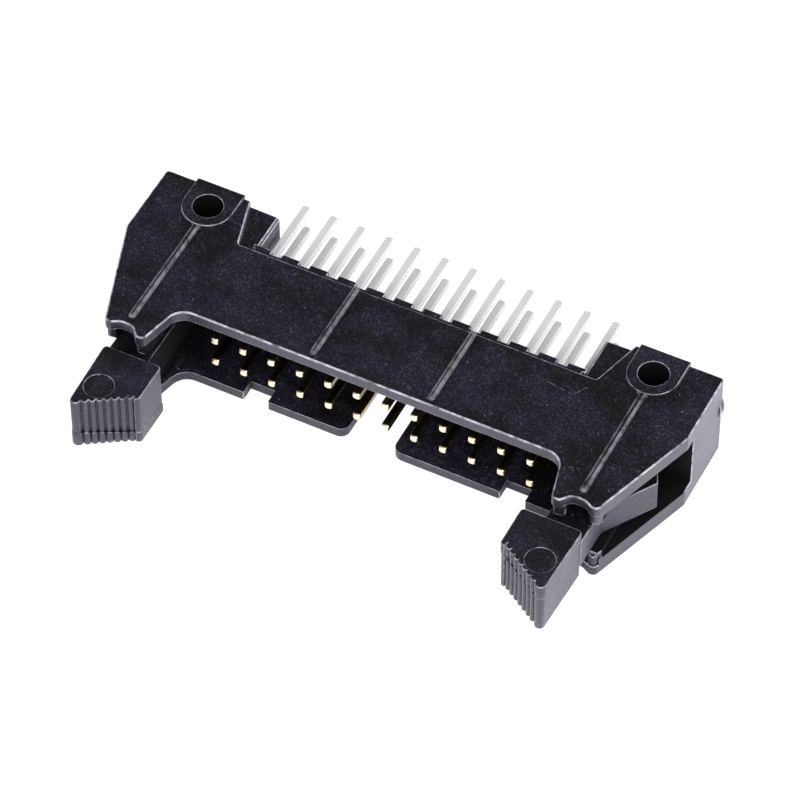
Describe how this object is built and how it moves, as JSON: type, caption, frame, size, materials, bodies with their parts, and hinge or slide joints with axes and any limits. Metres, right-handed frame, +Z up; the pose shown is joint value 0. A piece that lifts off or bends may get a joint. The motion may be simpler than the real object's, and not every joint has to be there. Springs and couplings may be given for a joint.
{
  "type": "shrouded pcb header with latch levers",
  "caption": "Shrouded two-row header: open-fronted moulded box of square contacts between two end towers, each with a hinged latch and ejector lever.",
  "frame": {"origin": "centre of the part's box in X and Y, on the surface that the part lies on", "axes": "+X along the rows of contacts, +Y from the mating opening towards the solder tails, +Z up through the thickness of the housing"},
  "size_m": [0.0502, 0.0278, 0.0092],
  "materials": {
    "housing": "fine-grained black glass-filled moulding with lightly burnished edges",
    "latch": "fine-grained black moulding",
    "contact": "gold-plated mating end, bright tin-plated solder tail"
  },
  "bodies": {
    "header": {"housing": "housing", "pin_01": "contact", "pin_02": "contact", "pin_03": "contact", "pin_04": "contact", "pin_05": "contact", "pin_06": "contact", "pin_07": "contact", "pin_08": "contact", "pin_09": "contact", "pin_10": "contact", "pin_11": "contact", "pin_12": "contact", "pin_13": "contact", "pin_14": "contact", "pin_15": "contact", "pin_16": "contact", "pin_17": "contact", "pin_18": "contact", "pin_19": "contact", "pin_20": "contact", "pin_21": "contact", "pin_22": "contact", "pin_23": "contact", "pin_24": "contact"},
    "left_latch": {"latch_left": "latch"},
    "right_latch": {"latch_right": "latch"}
  },
  "joints": [
    {"name": "left_latch_hinge", "type": "hinge", "parent": "header", "child": "left_latch", "pos_m": [-0.01982, 0.00187, 0.0046], "axis": [0, 0, -1], "range_deg": [0, 40]},
    {"name": "right_latch_hinge", "type": "hinge", "parent": "header", "child": "right_latch", "pos_m": [0.01982, 0.00187, 0.0046], "axis": [0, 0, 1], "range_deg": [0, 40]}
  ]
}
